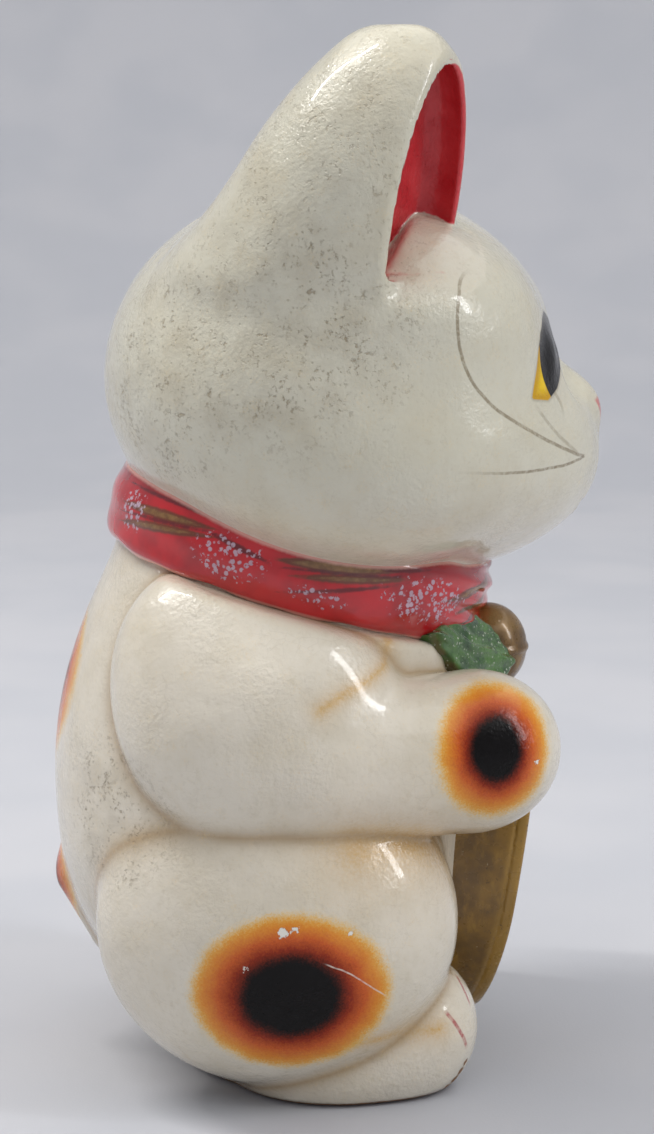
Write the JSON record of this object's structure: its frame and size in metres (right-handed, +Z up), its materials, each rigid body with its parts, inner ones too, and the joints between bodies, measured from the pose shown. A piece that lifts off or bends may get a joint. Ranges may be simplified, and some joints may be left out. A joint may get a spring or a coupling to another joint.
{
  "type": "beckoning cat figurine bank",
  "caption": "Seated glazed ceramic beckoning cat with a raised paw, collar, bell and oval coin, hollow as a savings bank, with an upright slot behind the head and a rubber stopper below.",
  "frame": {"origin": "middle of the flat foot the cat stands on, at floor level and on its left-right centre plane, over the drain hole's axis", "axes": "+Z up, -Y the way the cat faces, +X the cat's own left"},
  "size_m": [0.1975, 0.189, 0.34],
  "materials": {
    "white_glaze": "glossy",
    "red_glaze": "glossy",
    "green_glaze": "glossy",
    "gold_glaze": "satin",
    "bare_clay": "matte",
    "stopper_rubber": "matte"
  },
  "bodies": {
    "cat": {"torso_front": "white_glaze", "torso_back": "white_glaze", "head_front": "white_glaze", "head_back": "white_glaze", "ear_right": "white_glaze", "ear_left": "white_glaze", "arm_right": "white_glaze", "arm_left_raised": "white_glaze", "haunch_right": "white_glaze", "haunch_left": "white_glaze", "foot_right": "white_glaze", "foot_left": "white_glaze", "tail": "white_glaze", "collar": "red_glaze", "bib_right": "green_glaze", "bib_left": "green_glaze", "bell": "gold_glaze", "coin": "gold_glaze", "base_plate": "bare_clay"},
    "stopper": {"stopper": "stopper_rubber"}
  },
  "joints": [
    {"name": "stopper_pull", "type": "slide", "parent": "cat", "child": "stopper", "axis": [0, 0, -1], "range_m": [0, 0.03]}
  ]
}
